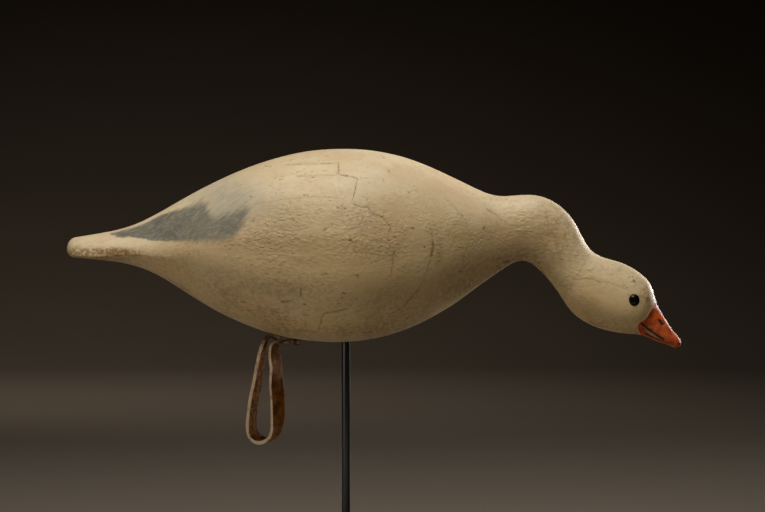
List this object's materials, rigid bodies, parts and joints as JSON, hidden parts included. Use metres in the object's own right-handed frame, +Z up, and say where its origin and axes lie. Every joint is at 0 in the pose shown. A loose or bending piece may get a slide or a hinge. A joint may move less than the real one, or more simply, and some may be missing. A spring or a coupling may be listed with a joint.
{
  "type": "goose decoy",
  "caption": "Carved and painted wooden goose decoy with its neck stretched low to feed, glass eyes and a nailed leather loop, held up on a rod with a flat foot.",
  "frame": {"origin": "middle of the underside of the stand's plate, straight below the rod", "axes": "+Z up, +X the way the bill points, +Y towards the goose's left side"},
  "size_m": [0.7004, 0.2432, 0.4616],
  "materials": {
    "painted_wood": "satin",
    "eye_glass": "gloss",
    "strap_leather": "matte",
    "nail_iron": "matte",
    "stand_steel": "satin"
  },
  "bodies": {
    "root": {"goose_body": "painted_wood", "goose_head": "painted_wood", "left_eye": "eye_glass", "right_eye": "eye_glass", "leather_loop": "strap_leather", "rear_nail": "nail_iron", "front_nail": "nail_iron", "stand_rod": "stand_steel", "stand_base": "stand_steel"}
  },
  "joints": []
}
